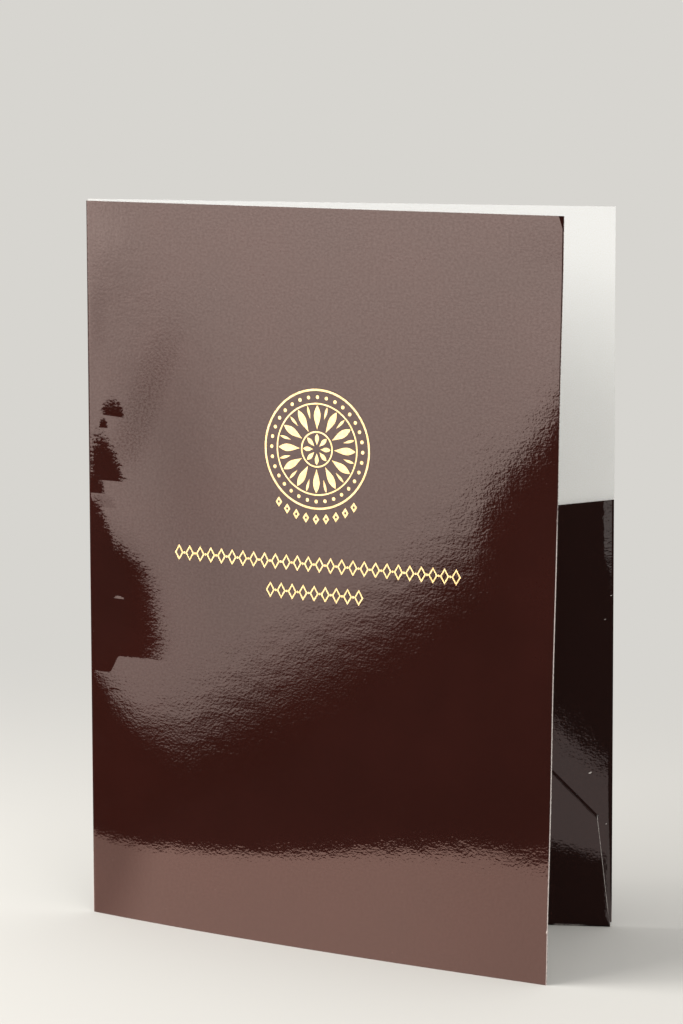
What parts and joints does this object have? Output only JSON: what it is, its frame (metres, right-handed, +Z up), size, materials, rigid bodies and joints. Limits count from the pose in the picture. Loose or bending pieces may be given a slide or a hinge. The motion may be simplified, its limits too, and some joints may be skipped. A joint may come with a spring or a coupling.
{
  "type": "presentation folder",
  "caption": "Folded card folder for A4 sheets, standing ajar, with a slit-locked two-flap pocket inside the back cover and a hinged front cover.",
  "frame": {"origin": "under the middle of the folder's box, on the surface that it stands on", "axes": "+Z up along the spine crease, +X along the back cover from the spine to the fore edge, +Y out of the back cover's printed face; the front cover opens towards -Y"},
  "size_m": [0.2202, 0.0942, 0.3057],
  "materials": {
    "laminated_card": "dark brown print under high-gloss film, faint orange peel",
    "white_card": "uncoated white card, matt",
    "gold_foil": "hot-stamped pale gold foil, bright"
  },
  "bodies": {
    "back": {"back_cover": "laminated_card"},
    "front": {"front_cover": "laminated_card"}
  },
  "joints": [
    {"name": "spine_crease", "type": "hinge", "parent": "back", "child": "front", "pos_m": [-0.10994, 0.04652, 0.1525], "axis": [0, 0, -1], "range_deg": [-22, 155]}
  ]
}
